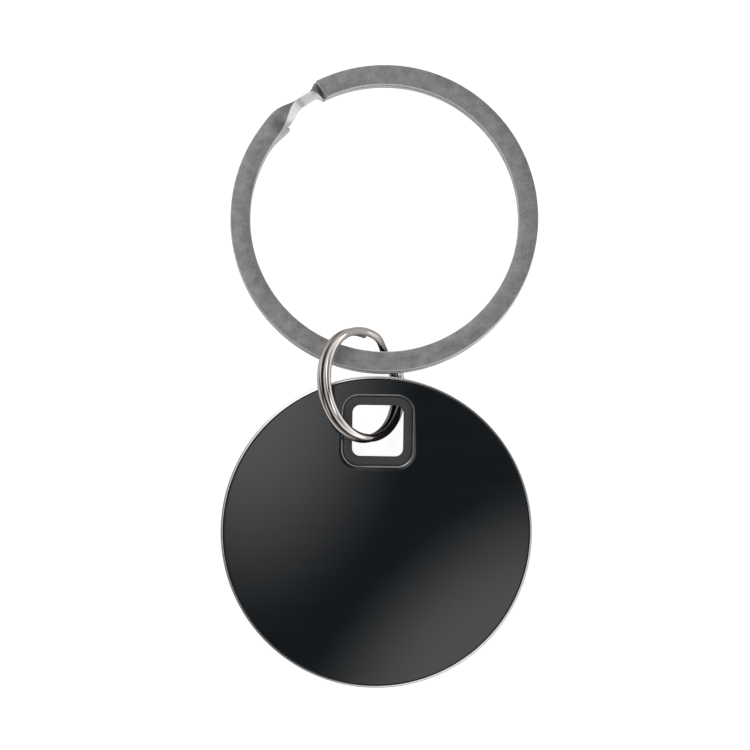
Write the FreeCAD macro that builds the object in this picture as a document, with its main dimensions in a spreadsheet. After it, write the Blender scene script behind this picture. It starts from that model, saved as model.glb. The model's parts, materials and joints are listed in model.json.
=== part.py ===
import FreeCAD, Part
import math
import os
import Sketcher

# Bluetooth tracker tag on a key ring, lying on its back.  Millimetres.
# X points right, Y points from the tag towards its key ring, Z points out of the glossy face.
# The origin is on the tag's round axis, in the plane of the flat back it lies on.

# ---------------------------------------------------------------- driving dimensions
DRIVING = {
    # round body
    "tag_radius": 15.55,
    "back_radius": 15.4,
    "wall_radius": 15.0,
    "wall_thick": 0.7,
    "floor_bottom": 2.2,
    "floor_top": 2.9,
    "wall_top": 4.0,
    "pan_chamfer": 0.15,
    "band_bottom": 2.45,
    "band_step": 4.05,
    "band_top": 4.78,
    "band_lip": 0.23,
    "band_chamfer": 0.1,
    "fit_gap": 0.03,
    # glossy face
    "face_radius": 15.25,
    "face_crown": 5.8,
    "face_edge_top": 4.72,
    "face_rim_bottom": 4.25,
    "face_inner_z": 4.55,
    "face_inner_radius": 12.95,
    "face_bevel": 0.12,
    "face_edge_chamfer": 0.06,
    "gasket_inset": 0.08,
    # snap hooks that hold the face
    "ledge_height": 0.15,
    "ledge_reach": 0.25,
    "ledge_width": 2.4,
    "hook_lift": 0.5,
    "hook_gap": 0.35,
    "hook_thick": 0.5,
    "hook_width": 1.8,
    "barb_reach": 0.25,
    "barb_play": 0.05,
    # square loop hole
    "hole_centre": 10.1,
    "hole_side": 5.1,
    "hole_corner": 0.8,
    "hole_mouth_chamfer": 0.1,
    "hole_way_gap": 0.1,
    "frame_side": 6.1,
    "frame_corner": 1.25,
    "flange_side": 7.02,
    "flange_corner": 1.55,
    "flange_bottom": 3.7,
    "flange_sink": 0.14,
    "aperture_side": 7.3,
    "aperture_corner": 1.7,
    "board_cutout": 6.6,
    # battery bay and door
    "bay_centre": -3.7,
    "bump_radius": 11.2,
    "bump_draft": 0.25,
    "bump_round": 0.22,
    "bay_radius": 10.25,
    "door_lip_radius": 10.42,
    "door_radius": 10.3,
    "door_clearance": 0.1,
    "door_lip_top": 0.4,
    "groove_radius": 10.8,
    "groove_top": 0.85,
    "lug_radius": 10.7,
    "door_thick": 0.78,
    "notch_angle": 30.0,
    "lug_angle": 24.0,
    "first_lug_angle": 60.0,
    "door_turn": 38.0,
    "slot_length": 9.0,
    "slot_width": 1.5,
    "slot_depth": 0.35,
    # coin cell, 20 mm by 1.6 mm
    "cell_radius": 10.0,
    "cell_bottom": 0.82,
    "cell_height": 1.6,
    "can_height": 1.4,
    "can_wall": 0.25,
    "can_corner": 0.2,
    "cap_radius": 8.8,
    "cap_corner": 0.15,
    "cell_gap": 0.02,
    "seal_lip": 0.05,
    # circuit board and what is on it
    "board_radius": 13.9,
    "board_thick": 0.6,
    "hook_notch_depth": 0.75,
    "hook_notch_width": 2.6,
    "peg_radius": 0.5,
    "peg_gap": 0.05,
    "peg_circle": 12.6,
    "peg_top": 3.72,
    # switch under the face's nub
    "switch_y": 0.6,
    "tray_length": 3.0,
    "tray_width": 2.6,
    "tray_height": 0.4,
    "well_floor": 0.1,
    "well_radius": 1.0,
    "dome_radius": 0.9,
    "dome_rise": 0.24,
    "dome_thick": 0.06,
    "cover_thick": 0.08,
    "cover_opening": 0.66,
    "plunger_radius": 0.58,
    "plunger_seat": 0.36,
    "nub_radius": 0.9,
    "nub_bottom": 4.2,
    # buzzer and its springs
    "buzzer_y": -7.5,
    "buzzer_radius": 5.2,
    "ceramic_radius": 3.8,
    "sheet_thick": 0.12,
    "spring_width": 0.8,
    "spring_reach": 1.3,
    "spring_x": 4.5,
    # battery contacts
    "contact_thick": 0.12,
    "finger_base_x": -3.0,
    "finger_base_side": 2.0,
    "finger_tip_x": 1.0,
    "finger_tip_length": 1.0,
    "finger_width": 1.4,
    "clip_gap": 0.02,
    "clip_bottom": 1.1,
    "clip_width": 3.0,
    "clip_shelf": 1.5,
    # small wire split ring through the hole
    "link_radius": 5.39,
    "link_wire_radius": 0.4,
    "link_coil_gap": 0.02,
    "link_lean": 11.5,
    "link_tilt": 47.75,
    "link_centre_x": -1.7,
    "link_centre_y": 14.65,
    "link_split_angle": 22.0,
    # flat split key ring
    "key_outer_radius": 15.4,
    "key_strip_width": 2.0,
    "key_strip_thick": 1.0,
    "key_coil_gap": 0.04,
    "key_strip_chamfer": 0.12,
    "key_centre_x": 0.35,
    "key_centre_y": 31.31,
    "key_lean_back": 4.05,
    "key_split_angle": 116.9,
}

# how far joined features run into each other, and how far a cut runs past the solid
OVERLAP = 0.1
OVERSHOOT = 1.0

PEG_ANGLES = (50, 130, 210, 330)

# chips on the board: centre x, centre y, length, width, height
CHIPS = {
    "radio_chip": (-7.4, 3.0, 5.0, 5.0, 0.6),
    "fast_crystal": (-7.6, -1.4, 2.0, 1.6, 0.45),
    "slow_crystal": (-3.4, 3.6, 1.5, 3.2, 0.45),
    "chip_antenna": (11.4, 0.0, 2.0, 6.5, 0.6),
}
PASSIVE_SIZE = (1.0, 0.5, 0.35)
PASSIVE_GRID = {"x": 4.2, "y": 2.4, "columns": 3, "rows": 3, "step_x": 1.7, "step_y": 1.2}
PASSIVE_COLUMN = {"x": -10.6, "y": -3.9, "columns": 1, "rows": 3, "step_x": 0.0, "step_y": 1.2}

# split rings: sweeps of the upper coil, the crossing and the lower coil, in degrees from the cut end
LINK_SWEEPS = (324.0, 33.0, 321.0)
KEY_SWEEPS = (331.7, 27.8, 340.7)
# sections of a crossing, how far its middle lies towards its end, and the flat strip's greatest roll
CROSS_STEPS = 10
LINK_LATE = 1.0
KEY_LATE = 1.6
KEY_ROLL = -82.0

doc = FreeCAD.newDocument("tracker_tag")
sizes = doc.addObject("Spreadsheet::Sheet", "sizes")


class Dim:
    """A length with its value and the spreadsheet formula that gives it."""

    def __init__(self, value, formula):
        self.value = value
        self.formula = formula

    def combine(self, other, sign, value):
        text = other.formula if isinstance(other, Dim) else repr(other)
        return Dim(value, "(%s %s %s)" % (self.formula, sign, text))

    def __add__(self, other):
        return self.combine(other, "+", self.value + number(other))

    def __sub__(self, other):
        return self.combine(other, "-", self.value - number(other))

    def __mul__(self, other):
        return self.combine(other, "*", self.value * number(other))

    def __truediv__(self, other):
        return self.combine(other, "/", self.value / number(other))

    def __neg__(self):
        return Dim(-self.value, "(0 - %s)" % self.formula)


def number(length):
    return length.value if isinstance(length, Dim) else length


def fill_sheet():
    """Write every driving dimension to the sheet and return them as Dims by name."""
    dims = {}
    for row, (name, value) in enumerate(DRIVING.items(), start=1):
        sizes.set("A%d" % row, name.replace("_", " "))
        sizes.set("B%d" % row, str(value))
        sizes.setAlias("B%d" % row, name)
        dims[name] = Dim(value, "sizes." + name)
    doc.recompute()
    return dims


D = fill_sheet()
ZERO = Dim(0.0, "0")
VERTICAL = FreeCAD.Vector(0, 0, 1)


def bind(obj, prop, length):
    """Set a property from a Dim, or from a plain number."""
    if isinstance(length, Dim):
        obj.setExpression(prop, length.formula)
    else:
        setattr(obj, prop, length)


def polar(radius, degrees):
    angle = math.radians(degrees)
    return radius * math.cos(angle), radius * math.sin(angle)


# ---------------------------------------------------------------- bodies and sketches
def add_body(label):
    body = doc.addObject("PartDesign::Body", label)
    body.Label = label
    return body


def origin_plane(body, role):
    return [item for item in body.Origin.OriginFeatures if item.Role == role][0]


def add_sketch(body, name, role="XY_Plane", height=None):
    """A sketch on one of the body's own planes, raised by height along the plane's normal."""
    sketch = body.newObject("Sketcher::SketchObject", name)
    sketch.AttachmentSupport = [(origin_plane(body, role), "")]
    sketch.MapMode = "FlatFace"
    if height is not None:
        sketch.setExpression("AttachmentOffset.Base.z", height.formula)
    return sketch


def pin_point(sketch, geometry, vertex, x, y):
    """Hold one vertex at (x, y) from the sketch's origin."""
    for kind, length, axis in (("DistanceX", x, -2), ("DistanceY", y, -1)):
        if number(length) == 0:
            sketch.addConstraint(Sketcher.Constraint("PointOnObject", geometry, vertex, axis))
            continue
        index = sketch.addConstraint(Sketcher.Constraint(kind, -1, 1, geometry, vertex, number(length)))
        if isinstance(length, Dim):
            sketch.setExpression("Constraints[%d]" % index, length.formula)


def set_radius(sketch, geometry, radius):
    index = sketch.addConstraint(Sketcher.Constraint("Radius", geometry, number(radius)))
    sketch.setExpression("Constraints[%d]" % index, radius.formula)


def draw_outline(sketch, points, dome=None):
    """Closed outline of straight edges.  Edge number dome, if given, is an arc centred on the axis."""
    flat = [FreeCAD.Vector(number(x), number(y), 0) for x, y in points]
    count = len(points)
    for index in range(count):
        start, end = flat[index], flat[(index + 1) % count]
        if index == dome:
            sketch.addGeometry(dome_arc(start, end), False)
        else:
            sketch.addGeometry(Part.LineSegment(start, end), False)
    starts = [arc_start(sketch, index, flat[index]) for index in range(count)]
    for index in range(count):
        following = (index + 1) % count
        meet = Sketcher.Constraint("Coincident", index, 3 - starts[index], following, starts[following])
        sketch.addConstraint(meet)
        pin_point(sketch, index, starts[index], *points[index])
    if dome is not None:
        sketch.addConstraint(Sketcher.Constraint("PointOnObject", dome, 3, -2))


def dome_arc(start, end):
    """Arc from the crown on the axis down to the edge, with its centre on the axis."""
    crown, edge = (start, end) if abs(start.x) < abs(end.x) else (end, start)
    sag = crown.y - edge.y
    radius = (edge.x ** 2 + sag ** 2) / (2 * sag)
    middle_x = edge.x / 2
    middle_y = crown.y - radius + math.sqrt(radius ** 2 - middle_x ** 2)
    return Part.Arc(start, FreeCAD.Vector(middle_x, middle_y, 0), end)


def arc_start(sketch, index, point):
    """Which end of an edge, 1 or 2, lies at the point: an arc may run the other way."""
    return 1 if sketch.getPoint(index, 1).distanceToPoint(point) < 1e-6 else 2


def draw_circle(sketch, x, y, radius):
    centre = FreeCAD.Vector(number(x), number(y), 0)
    index = sketch.addGeometry(Part.Circle(centre, VERTICAL, number(radius)), False)
    pin_point(sketch, index, 3, x, y)
    set_radius(sketch, index, radius)


def draw_rounded_square(sketch, centre_y, side, corner):
    """Square with rounded corners, its centre on the sketch's vertical axis."""
    half, rad, mid = number(side) / 2, number(corner), number(centre_y)
    inner = half - rad
    turns = ((1, 1, 0), (-1, 1, 90), (-1, -1, 180), (1, -1, 270))
    for sx, sy, start in turns:
        centre = FreeCAD.Vector(sx * inner, mid + sy * inner, 0)
        circle = Part.Circle(centre, VERTICAL, rad)
        arc = Part.ArcOfCircle(circle, math.radians(start), math.radians(start + 90))
        sketch.addGeometry(arc, False)
    for index in range(4):
        end = sketch.getPoint(index, 2)
        start = sketch.getPoint((index + 1) % 4, 1)
        line = sketch.addGeometry(Part.LineSegment(end, start), False)
        sketch.addConstraint(Sketcher.Constraint("Tangent", index, 2, line, 1))
        sketch.addConstraint(Sketcher.Constraint("Tangent", line, 2, (index + 1) % 4, 1))
    for index, (sx, sy, start) in enumerate(turns):
        pin_point(sketch, index, 3, (side / 2 - corner) * sx, centre_y + (side / 2 - corner) * sy)
    set_radius(sketch, 0, corner)


# ---------------------------------------------------------------- features
def spin(body, sketch, kind="Revolution", angle=360.0, backwards=False):
    """Revolution or Groove of a profile about the body's vertical axis."""
    feature = body.newObject("PartDesign::" + kind, sketch.Name + "_" + kind.lower())
    feature.Profile = sketch
    feature.ReferenceAxis = (sketch, ["V_Axis"])
    feature.Angle = angle
    feature.Reversed = backwards
    sketch.Visibility = False
    return feature


def pad(body, sketch, height):
    feature = body.newObject("PartDesign::Pad", sketch.Name + "_pad")
    feature.Profile = sketch
    bind(feature, "Length", height)
    return feature


def pocket_up(body, sketch, height):
    """Pocket that cuts upwards from the sketch's plane."""
    feature = body.newObject("PartDesign::Pocket", sketch.Name + "_pocket")
    feature.Profile = sketch
    feature.Reversed = True
    bind(feature, "Length", height)
    return feature


def around(body, feature, name, count, total=360.0):
    """Polar pattern of a feature about the body's vertical axis."""
    pattern = body.newObject("PartDesign::PolarPattern", name)
    pattern.Originals = [feature]
    pattern.Axis = (feature.Profile[0], ["N_Axis"])
    pattern.Angle = total
    pattern.Occurrences = count
    body.Tip = pattern
    return pattern


def chamfer_edges(body, name, size, chosen, kind="Chamfer"):
    """Chamfer or Fillet of the tip's edges that the test chooses."""
    doc.recompute()
    base = body.Tip
    edges = base.Shape.Edges
    names = ["Edge%d" % (index + 1) for index, edge in enumerate(edges) if chosen(edge)]
    feature = body.newObject("PartDesign::" + kind, name)
    feature.Base = (base, names)
    bind(feature, "Radius" if kind == "Fillet" else "Size", size)
    return feature


def near_square(edge, side, low, high):
    """True for edges of the loop hole's square prism of that side, between two heights."""
    box = edge.BoundBox
    reach = side / 2 + 0.01
    mid = D["hole_centre"].value
    inside = box.XMax <= reach and box.XMin >= -reach
    inside = inside and box.YMax <= mid + reach and box.YMin >= mid - reach
    on_wall = max(abs(box.XMax), abs(box.XMin), abs(box.YMax - mid), abs(box.YMin - mid)) > side / 2 - 0.5
    return inside and on_wall and box.ZMin >= low and box.ZMax <= high


def round_edge_at(edge, radius, height, centre_y=0.0):
    """True for a horizontal circular edge of that radius at that height."""
    curve = edge.Curve
    if not hasattr(curve, "Radius"):
        return False
    level = abs(edge.BoundBox.ZMin - height) < 0.01 and abs(edge.BoundBox.ZMax - height) < 0.01
    return level and abs(curve.Radius - radius) < 0.01 and abs(curve.Center.y - centre_y) < 0.01


# ---------------------------------------------------------------- casing
def make_back_housing():
    """Black pan: floor round the hole, battery bump below it, wall, board pegs and bayonet groove."""
    body = add_body("back_housing")
    wall_inner = D["wall_radius"] - D["wall_thick"]
    profile = add_sketch(body, "pan_profile", "XZ_Plane")
    draw_outline(profile, [
        (0, D["floor_bottom"]), (D["back_radius"] - D["pan_chamfer"], D["floor_bottom"]),
        (D["back_radius"], D["floor_bottom"] + D["pan_chamfer"]), (D["back_radius"], D["band_bottom"]),
        (D["wall_radius"], D["band_bottom"]), (D["wall_radius"], D["wall_top"]),
        (wall_inner, D["wall_top"]), (wall_inner, D["floor_top"]), (0, D["floor_top"]),
    ])
    spin(body, profile)
    bump = body.newObject("PartDesign::AdditiveCone", "battery_bump")
    bind(bump, "Radius1", D["bump_radius"])
    bind(bump, "Radius2", D["bump_radius"] + D["bump_draft"])
    bind(bump, "Height", D["floor_bottom"] + OVERLAP)
    bump.AttachmentSupport = [(origin_plane(body, "XY_Plane"), "")]
    bump.MapMode = "FlatFace"
    bump.setExpression("AttachmentOffset.Base.y", D["bay_centre"].formula)
    chamfer_edges(body, "bump_edge", D["bump_round"], lambda edge: round_edge_at(
        edge, D["bump_radius"].value, 0, D["bay_centre"].value), "Fillet")
    stages = (
        ("bay", D["bay_radius"], ZERO, D["floor_top"] + OVERSHOOT),
        ("door_lip", D["door_lip_radius"], ZERO, D["door_lip_top"]),
        ("bayonet_groove", D["groove_radius"], D["door_lip_top"], D["groove_top"] - D["door_lip_top"]),
    )
    for name, radius, start, depth in stages:
        sketch = add_sketch(body, name, height=start)
        draw_circle(sketch, 0, D["bay_centre"], radius)
        pocket_up(body, sketch, depth)
    cut_door_notches(body)
    cut_hole_passage(body)
    add_hook_ledges(body)
    add_board_pegs(body)
    return body


def cut_door_notches(body):
    """Three gaps in the lip that let the door's lugs in, a part turn from where they lock."""
    for index in range(3):
        middle = lug_direction(index) - D["door_turn"].value
        sketch = add_sketch(body, "notch_%d" % index)
        draw_sector(sketch, D["bay_radius"] - OVERSHOOT, D["groove_radius"], middle, D["notch_angle"])
        pocket_up(body, sketch, D["door_lip_top"])


def lug_direction(index):
    return D["first_lug_angle"].value + index * 120


def draw_sector(sketch, inner, outer, middle, angle):
    """Ring sector about the battery bay's centre, between two radii."""
    half = angle.value / 2
    centre = FreeCAD.Vector(0, D["bay_centre"].value, 0)
    first, last = math.radians(middle - half), math.radians(middle + half)
    for radius in (inner, outer):
        circle = Part.Circle(centre, VERTICAL, radius.value)
        index = sketch.addGeometry(Part.ArcOfCircle(circle, first, last), False)
        pin_point(sketch, index, 3, 0, D["bay_centre"])
        set_radius(sketch, index, radius)
    for end in (1, 2):
        line = Part.LineSegment(sketch.getPoint(0, end), sketch.getPoint(1, end))
        index = sketch.addGeometry(line, False)
        sketch.addConstraint(Sketcher.Constraint("Coincident", 0, end, index, 1))
        sketch.addConstraint(Sketcher.Constraint("Coincident", 1, end, index, 2))
        x, y = polar(inner.value, middle - half if end == 1 else middle + half)
        sketch.addConstraint(Sketcher.Constraint("DistanceX", -1, 1, index, 1, x))
        x, y = polar(outer.value, middle - half if end == 1 else middle + half)
        sketch.addConstraint(Sketcher.Constraint("DistanceX", -1, 1, index, 2, x))


def cut_hole_passage(body):
    """Seat for the hole's frame, and the open way below it."""
    seat = add_sketch(body, "frame_seat", height=D["floor_bottom"])
    draw_rounded_square(seat, D["hole_centre"], D["frame_side"], D["frame_corner"])
    pocket_up(body, seat, D["floor_top"] - D["floor_bottom"] + OVERSHOOT)
    way = add_sketch(body, "hole_way")
    draw_rounded_square(way, D["hole_centre"], D["hole_side"] + D["hole_way_gap"], D["hole_corner"])
    pocket_up(body, way, D["floor_top"])


def add_hook_ledges(body):
    """Three small ledges on the wall that the face's hooks catch under."""
    wall_inner = D["wall_radius"] - D["wall_thick"]
    ledge = add_sketch(body, "hook_ledge", height=D["wall_top"] - D["ledge_height"])
    draw_block(ledge, -(wall_inner + OVERLAP), -(wall_inner - D["ledge_reach"]), D["ledge_width"])
    feature = pad(body, ledge, D["ledge_height"])
    around(body, feature, "hook_ledges", 3)


def draw_block(sketch, low, high, width):
    """Rectangle across the vertical axis between two distances from the origin."""
    draw_outline(sketch, [(-width / 2, low), (width / 2, low), (width / 2, high), (-width / 2, high)])


def add_board_pegs(body):
    """Four pegs that locate the circuit board."""
    sketch = add_sketch(body, "board_pegs", height=D["floor_top"] - OVERLAP)
    for degrees in PEG_ANGLES:
        x, y = polar(1.0, degrees)
        draw_circle(sketch, D["peg_circle"] * x, D["peg_circle"] * y, D["peg_radius"])
    pad(body, sketch, D["peg_top"] - D["floor_top"] + OVERLAP)


def make_edge_band():
    """Polished metal band round the casing, with a thin lip round the face."""
    body = add_body("edge_band")
    inner = D["wall_radius"] + D["fit_gap"]
    lip = D["tag_radius"] - D["band_lip"]
    outer = D["tag_radius"]
    cut = D["band_chamfer"]
    profile = add_sketch(body, "band_profile", "XZ_Plane")
    draw_outline(profile, [
        (inner, D["band_bottom"]), (outer - cut, D["band_bottom"]), (outer, D["band_bottom"] + cut),
        (outer, D["band_top"] - cut), (outer - cut, D["band_top"]), (lip, D["band_top"]),
        (lip, D["band_step"]), (inner, D["band_step"]),
    ])
    spin(body, profile)
    return body


def make_face_plate():
    """Gently domed glossy cover with the hole's aperture, a switch nub and three snap hooks."""
    body = add_body("face_plate")
    inner = D["face_inner_radius"]
    profile = add_sketch(body, "face_profile", "XZ_Plane")
    draw_outline(profile, [
        (0, D["face_crown"]), (D["face_radius"] - D["face_edge_chamfer"], D["face_edge_top"]),
        (D["face_radius"], D["face_edge_top"] - D["face_edge_chamfer"]),
        (D["face_radius"], D["face_rim_bottom"]), (inner, D["face_rim_bottom"]),
        (inner, D["face_inner_z"]), (0, D["face_inner_z"]),
    ], dome=0)
    spin(body, profile)
    nub = add_sketch(body, "switch_nub", height=D["nub_bottom"])
    draw_circle(nub, 0, D["switch_y"], D["nub_radius"])
    pad(body, nub, D["face_inner_z"] - D["nub_bottom"] + OVERLAP)
    add_face_hooks(body)
    window = add_sketch(body, "aperture", height=D["face_rim_bottom"] - OVERLAP)
    draw_rounded_square(window, D["hole_centre"], D["aperture_side"], D["aperture_corner"])
    pocket_up(body, window, D["face_crown"])
    chamfer_edges(body, "aperture_bevel", D["face_bevel"], lambda edge: near_square(
        edge, D["aperture_side"].value, D["face_edge_top"].value, D["face_crown"].value))
    return body


def add_face_hooks(body):
    """Three legs under the face, each with a barb that catches below a ledge on the wall."""
    bottom = D["floor_top"] + D["hook_lift"]
    back = D["wall_radius"] - D["wall_thick"] - D["hook_gap"]
    leg = add_sketch(body, "hook_leg", height=bottom)
    draw_block(leg, -back, -(back - D["hook_thick"]), D["hook_width"])
    leg_pad = pad(body, leg, D["face_rim_bottom"] - bottom + OVERLAP)
    around(body, leg_pad, "hook_legs", 3)
    reach = back + D["barb_reach"]
    barb = add_sketch(body, "hook_barb", height=bottom)
    draw_block(barb, -reach, -(reach - D["hook_thick"]), D["hook_width"])
    barb_pad = pad(body, barb, D["wall_top"] - D["ledge_height"] - D["barb_play"] - bottom)
    around(body, barb_pad, "hook_barbs", 3)


def make_hole_frame():
    """Satin sleeve that lines the square loop hole, with a flange sunk just below the face."""
    body = add_body("hole_frame")
    sleeve = add_sketch(body, "sleeve", height=D["floor_bottom"])
    draw_rounded_square(sleeve, D["hole_centre"], D["frame_side"] - D["fit_gap"], D["frame_corner"])
    pad(body, sleeve, D["face_crown"] - D["floor_bottom"])
    flange = add_sketch(body, "flange", height=D["flange_bottom"])
    draw_rounded_square(flange, D["hole_centre"], D["flange_side"], D["flange_corner"])
    pad(body, flange, D["face_crown"] - D["flange_bottom"])
    hole = add_sketch(body, "hole", height=D["floor_bottom"])
    draw_rounded_square(hole, D["hole_centre"], D["hole_side"], D["hole_corner"])
    pocket_up(body, hole, D["face_crown"])
    above = add_sketch(body, "dome_trim", "XZ_Plane")
    draw_outline(above, [
        (0, D["face_crown"] - D["flange_sink"]), (D["face_radius"], D["face_edge_top"] - D["flange_sink"]),
        (D["face_radius"], D["face_crown"] + OVERSHOOT), (0, D["face_crown"] + OVERSHOOT),
    ], dome=0)
    spin(body, above, "Groove")
    low = D["flange_bottom"].value + OVERLAP
    chamfer_edges(body, "hole_mouth", D["hole_mouth_chamfer"], lambda edge: near_square(
        edge, D["hole_side"].value, low, D["face_crown"].value))
    return body


def make_battery_door():
    """Round door with a coin slot outside and three bayonet lugs."""
    body = add_body("battery_door")
    disc = add_sketch(body, "door_disc")
    draw_circle(disc, 0, D["bay_centre"], D["door_radius"])
    pad(body, disc, D["door_lip_top"])
    core = add_sketch(body, "door_core")
    core_radius = D["bay_radius"] - D["door_clearance"]
    draw_circle(core, 0, D["bay_centre"], core_radius)
    pad(body, core, D["door_thick"])
    for index in range(3):
        lug = add_sketch(body, "lug_%d" % index, height=D["door_lip_top"] + D["fit_gap"])
        draw_sector(lug, core_radius - OVERLAP, D["lug_radius"], lug_direction(index), D["lug_angle"])
        pad(body, lug, D["door_thick"] - D["door_lip_top"] - D["fit_gap"])
    slot = add_sketch(body, "coin_slot")
    half = D["slot_width"] / 2
    reach = D["slot_length"] / 2
    draw_outline(slot, [
        (-reach, D["bay_centre"] - half), (reach, D["bay_centre"] - half),
        (reach, D["bay_centre"] + half), (-reach, D["bay_centre"] + half),
    ])
    pocket_up(body, slot, D["slot_depth"])
    return body


def make_face_gasket():
    """Soft ring between the casing's wall and the face, which it pushes back up."""
    body = add_body("face_gasket")
    sketch = add_sketch(body, "gasket_ring", height=D["wall_top"])
    draw_circle(sketch, 0, 0, D["wall_radius"] - D["gasket_inset"])
    draw_circle(sketch, 0, 0, D["wall_radius"] - D["wall_thick"] + D["gasket_inset"])
    pad(body, sketch, D["face_rim_bottom"] - D["wall_top"])
    return body


# ---------------------------------------------------------------- coin cell
def cell_ring(label, points):
    """Turned piece of the coin cell about the battery bay's axis."""
    body = add_body(label)
    profile = add_sketch(body, label + "_profile", "XZ_Plane")
    draw_outline(profile, points)
    spin(body, profile)
    body.setExpression("Placement.Base.y", D["bay_centre"].formula)
    body.setExpression("Placement.Base.z", D["cell_bottom"].formula)
    return body


def make_coin_cell():
    """Steel can, nylon seal and steel cap, which the cell's height includes."""
    radius, wall, cap = D["cell_radius"], D["can_wall"], D["cap_radius"]
    top, corner = D["can_height"], D["can_corner"]
    gap, lip = D["cell_gap"], D["seal_lip"]
    inner = radius - wall
    cell_ring("coin_cell_can", [
        (0, 0), (radius - corner, 0), (radius, corner), (radius, top), (inner - corner, top),
        (inner, top - corner), (inner, wall), (0, wall),
    ])
    cell_ring("coin_cell_seal", [
        (cap + gap, wall), (inner - gap, wall), (inner - gap, top - corner - lip),
        (inner - corner - lip * 2, top + lip), (cap + gap, top + lip),
    ])
    cell_ring("coin_cell_cap", [
        (0, wall + gap), (cap, wall + gap), (cap, D["cell_height"] - D["cap_corner"]),
        (cap - D["cap_corner"], D["cell_height"]), (0, D["cell_height"]),
    ])


# ---------------------------------------------------------------- electronics
def make_circuit_board():
    """Round board with the loop hole's cut-out, peg holes and notches for the face's hooks."""
    body = add_body("circuit_board")
    outline = add_sketch(body, "board_outline", height=D["floor_top"])
    draw_circle(outline, 0, 0, D["board_radius"])
    pad(body, outline, D["board_thick"])
    cutout = add_sketch(body, "board_cutout", height=D["floor_top"])
    draw_rounded_square(cutout, D["hole_centre"], D["board_cutout"], D["frame_corner"])
    pocket_up(body, cutout, D["board_thick"])
    pegs = add_sketch(body, "peg_holes", height=D["floor_top"])
    for degrees in PEG_ANGLES:
        x, y = polar(1.0, degrees)
        draw_circle(pegs, D["peg_circle"] * x, D["peg_circle"] * y, D["peg_radius"] + D["peg_gap"])
    pocket_up(body, pegs, D["board_thick"])
    notch = add_sketch(body, "hook_notch", height=D["floor_top"])
    edge = D["board_radius"]
    draw_block(notch, -(edge + OVERSHOOT), -(edge - D["hook_notch_depth"]), D["hook_notch_width"])
    cut = pocket_up(body, notch, D["board_thick"])
    around(body, cut, "hook_notches", 3)
    return body


def add_box(name, centre_x, centre_y, bottom, length, width, height):
    """Upright block with its centre over (centre_x, centre_y)."""
    box = doc.addObject("Part::Box", name)
    bind(box, "Length", length)
    bind(box, "Width", width)
    bind(box, "Height", height)
    corner_x = number(centre_x) - number(length) / 2
    corner_y = number(centre_y) - number(width) / 2
    box.Placement.Base = FreeCAD.Vector(corner_x, corner_y, number(bottom))
    return box


def add_disc(name, centre_y, bottom, radius, height):
    disc = doc.addObject("Part::Cylinder", name)
    bind(disc, "Radius", radius)
    bind(disc, "Height", height)
    disc.Placement.Base = FreeCAD.Vector(0, number(centre_y), number(bottom))
    return disc


def add_group(label, members):
    """Several separate solids of one kind under one name."""
    group = doc.addObject("Part::Compound", label)
    group.Label = label
    group.Links = members
    return group


def add_cut(label, base, tool):
    cut = doc.addObject("Part::Cut", label)
    cut.Label = label
    cut.Base = base
    cut.Tool = tool
    return cut


def add_fuse(label, members):
    fuse = doc.addObject("Part::MultiFuse", label)
    fuse.Label = label
    fuse.Shapes = members
    return fuse


def add_chip(name, board_top):
    centre_x, centre_y, length, width, height = CHIPS[name]
    return add_box(name, centre_x, centre_y, board_top, length, width, height)


def add_passives(prefix, grid, board_top):
    """Small blocks in rows and columns."""
    blocks = []
    for row in range(grid["rows"]):
        for column in range(grid["columns"]):
            centre_x = grid["x"] + column * grid["step_x"]
            centre_y = grid["y"] + row * grid["step_y"]
            name = "%s_%d_%d" % (prefix, row, column)
            blocks.append(add_box(name, centre_x, centre_y, board_top, *PASSIVE_SIZE))
    return blocks


def make_board_parts():
    """Radio chip, crystals, antenna and passive parts on the board's face side."""
    top = D["floor_top"] + D["board_thick"]
    add_chip("radio_chip", top)
    add_chip("chip_antenna", top)
    add_group("crystals", [add_chip("fast_crystal", top), add_chip("slow_crystal", top)])
    passives = add_passives("passive_grid", PASSIVE_GRID, top)
    passives += add_passives("passive_column", PASSIVE_COLUMN, top)
    add_group("passive_parts", passives)


def make_switch():
    """Tact switch: tray, snap dome, plunger and metal cover."""
    top = D["floor_top"] + D["board_thick"]
    centre, length, width = D["switch_y"], D["tray_length"], D["tray_width"]
    well_bottom = top + D["well_floor"]
    cover_bottom = top + D["tray_height"]
    tray = add_box("tray_block", 0, centre, top, length, width, D["tray_height"])
    well = add_disc("tray_well", centre, well_bottom, D["well_radius"], D["tray_height"])
    add_cut("switch_tray", tray, well)
    plate = add_box("cover_plate", 0, centre, cover_bottom, length, width, D["cover_thick"])
    opening = add_disc("cover_opening", centre, cover_bottom - OVERLAP, D["cover_opening"],
                       D["cover_thick"] + OVERLAP * 2)
    add_cut("switch_cover", plate, opening)
    seat = top + D["plunger_seat"]
    add_disc("switch_plunger", centre, seat, D["plunger_radius"], D["nub_bottom"] - seat)
    dome_shell(centre, well_bottom)


def dome_shell(centre_y, bottom):
    """Snap dome: a shallow steel cap over the tray's well."""
    body = add_body("switch_dome")
    profile = add_sketch(body, "dome_profile", "XZ_Plane")
    radius, rise, thick = D["dome_radius"], D["dome_rise"], D["dome_thick"]
    draw_outline(profile, [
        (0, rise), (radius, thick), (radius, 0), (radius - thick, 0), (0, rise - thick),
    ], dome=0)
    spin(body, profile)
    body.Placement.Base = FreeCAD.Vector(0, centre_y.value, bottom.value)
    return body


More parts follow.
